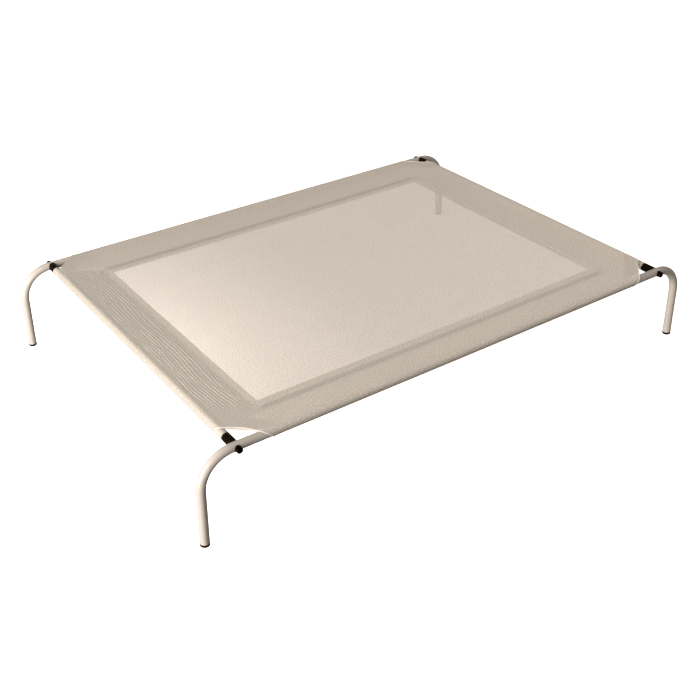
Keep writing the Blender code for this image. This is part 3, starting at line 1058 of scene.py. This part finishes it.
def floor_white():
    """A white that glows, with a painted pool of light that lies behind the left half of the cover."""
    material = bpy.data.materials.new("floor_white")
    material.use_nodes = True
    tree = material.node_tree
    tree.nodes.remove(tree.nodes["Principled BSDF"])
    glow = add(tree, "ShaderNodeEmission", Color=WARM_WHITE)
    where = add(tree, "ShaderNodeTexCoord").outputs["Object"]
    pool = add(tree, "ShaderNodeMapping", vector_type="TEXTURE")
    pool.inputs["Location"].default_value = POOL_PLACE
    pool.inputs["Scale"].default_value = POOL_SIZE
    tree.links.new(where, pool.inputs["Vector"])
    gradient = add(tree, "ShaderNodeTexGradient", gradient_type="QUADRATIC_SPHERE")
    tree.links.new(pool.outputs["Vector"], gradient.inputs["Vector"])
    tree.links.new(remap(tree, gradient.outputs["Fac"], 1.0, POOL_STRENGTH), glow.inputs["Strength"])
    matte = add(tree, "ShaderNodeBsdfDiffuse", Color=(0.8, 0.8, 0.8, 1))
    total = add(tree, "ShaderNodeAddShader")
    tree.links.new(glow.outputs["Emission"], total.inputs[0])
    tree.links.new(matte.outputs["BSDF"], total.inputs[1])
    tree.links.new(total.outputs["Shader"], tree.nodes["Material Output"].inputs["Surface"])
    return material


def backdrop_white():
    material = bpy.data.materials.new("backdrop_white")
    material.use_nodes = True
    tree = material.node_tree
    tree.nodes.remove(tree.nodes["Principled BSDF"])
    glow = add(tree, "ShaderNodeEmission", Color=(1, 1, 1, 1), Strength=1.0)
    tree.links.new(glow.outputs["Emission"], tree.nodes["Material Output"].inputs["Surface"])
    return material


def stage_piece(name, mesh_data, material):
    """A part of the stage that only the camera sees."""
    mesh = bpy.data.meshes.new(name)
    mesh_data.to_mesh(mesh)
    mesh_data.free()
    mesh.materials.append(material)
    obj = bpy.data.objects.new(name, mesh)
    bpy.context.scene.collection.objects.link(obj)
    obj.visible_diffuse = False
    obj.visible_glossy = False
    obj.visible_shadow = False


def make_stage():
    """A pale floor and backdrop, bright enough to stay white."""
    disc = bmesh.new()
    bmesh.ops.create_circle(disc, cap_ends=True, radius=FLOOR_R, segments=96)
    stage_piece("floor", disc, floor_white())
    dome = bmesh.new()
    bmesh.ops.create_uvsphere(dome, u_segments=64, v_segments=32, radius=BACKDROP_R)
    stage_piece("backdrop", dome, backdrop_white())


def area_light(name, place, target, size, power):
    data = bpy.data.lights.new(name, "AREA")
    data.shape = "RECTANGLE"
    data.size, data.size_y = size
    data.energy = power
    data.color = (1.0, 0.98, 0.955)
    light = bpy.data.objects.new(name, data)
    light.location = place
    light.rotation_mode = "QUATERNION"
    light.rotation_quaternion = (Vector(target) - Vector(place)).to_track_quat("-Z", "Y")
    light.visible_camera = False
    bpy.context.scene.collection.objects.link(light)
    return light


def link_light(light, pieces, state):
    """Gives the light to these pieces only (INCLUDE), or to all others (EXCLUDE)."""
    linked = bpy.data.collections.new(f"{light.name}_pieces")
    for piece in pieces:
        linked.objects.link(piece)
    for item in linked.collection_objects:
        item.light_linking.link_state = state
    light.light_linking.receiver_collection = linked


def make_lights(cloth, back_rail):
    # The window falls on the cover with two thirds of its strength, so that the left sleeve keeps its tone.
    window = {"place": (-4.6, -0.55, 0.70), "target": (0, -0.30, 0.2), "size": (2.6, 2.1)}
    link_light(area_light("window_frame", **window, power=237), cloth, "EXCLUDE")
    link_light(area_light("window_cloth", **window, power=155), cloth, "INCLUDE")
    area_light("lamp_left", place=(-4.4, -1.15, 2.65), target=(0, -0.2, 0.2), size=(0.6, 0.6), power=100)
    # Light that comes up through the cloth from the white floor is given to the cloth alone, from above.
    glow = area_light("cloth_glow", place=(0.9, -1.0, 2.6), target=(0, 0, 0.2), size=(2.2, 2.0), power=22)
    link_light(glow, cloth, "INCLUDE")
    # Light that a white floor throws back on the legs at the back, given to their rail alone.
    middle = (0.1, RAIL_Y, 0.1)
    bounce = area_light("bounce_back", place=(-1.4, -1.7, 0.6), target=middle, size=(1.2, 0.8), power=14)
    link_light(bounce, [back_rail], "INCLUDE")
    world = bpy.data.worlds.new("studio")
    world.use_nodes = True
    tree = world.node_tree
    background = tree.nodes["Background"]
    background.inputs["Color"].default_value = (1.0, 0.965, 0.92, 1)
    height = add(tree, "ShaderNodeSeparateXYZ")
    tree.links.new(add(tree, "ShaderNodeTexCoord").outputs["Generated"], height.inputs["Vector"])
    tree.links.new(remap(tree, height.outputs["Z"], 0.12, 0.31, -0.5, 0.4), background.inputs["Strength"])
    bpy.context.scene.world = world


CAMERA_PLACE = Vector((-1.2199, -1.7508, 1.3001))
CAMERA_TURN = math.radians(34.843)  # from +Y towards +X
CAMERA_DOWN = math.radians(31.987)
CAMERA_ROLL = math.radians(-0.861)
CAMERA_LENS = 52.865


def make_camera():
    turn, down = CAMERA_TURN, CAMERA_DOWN
    forwards = Vector((math.cos(down) * math.sin(turn), math.cos(down) * math.cos(turn), -math.sin(down)))
    level = Vector((math.cos(turn), -math.sin(turn), 0))
    up = level.cross(forwards)
    across = math.cos(CAMERA_ROLL) * level + math.sin(CAMERA_ROLL) * up
    upwards = -math.sin(CAMERA_ROLL) * level + math.cos(CAMERA_ROLL) * up
    data = bpy.data.cameras.new("camera")
    data.lens = CAMERA_LENS
    data.sensor_width = 36
    data.clip_end = 100
    camera = bpy.data.objects.new("camera", data)
    axes = Matrix((across, upwards, -forwards)).transposed()
    camera.matrix_world = Matrix.Translation(CAMERA_PLACE) @ axes.to_4x4()
    bpy.context.scene.collection.objects.link(camera)
    bpy.context.scene.camera = camera


# ---------------------------------------------------------------- build

make_camera()
make_stage()
bpy.context.scene.view_settings.view_transform = "Standard"

make_rail(FRONT)
back_rail = make_rail(BACK)
for end in (LEFT, RIGHT):
    make_crossbar(end)
for corner in CORNERS:
    make_plug(*corner)
    make_washer(*corner)
    make_bolt(*corner)
    make_foot_cap(*corner)
    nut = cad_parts[f"nut_{corner_name(*corner)}"]
    nut.data.materials.clear()
    nut.data.materials.append(ZINC)

cover, openings = make_cover()
extras = make_strips()
extras.append(make_stitches())
extras += make_rims(openings)
extras += [make_corner_fold(*corner) for corner in CORNERS]
extras.append(make_lip(LEFT, FRONT))
make_lights([cover, *extras], back_rail)
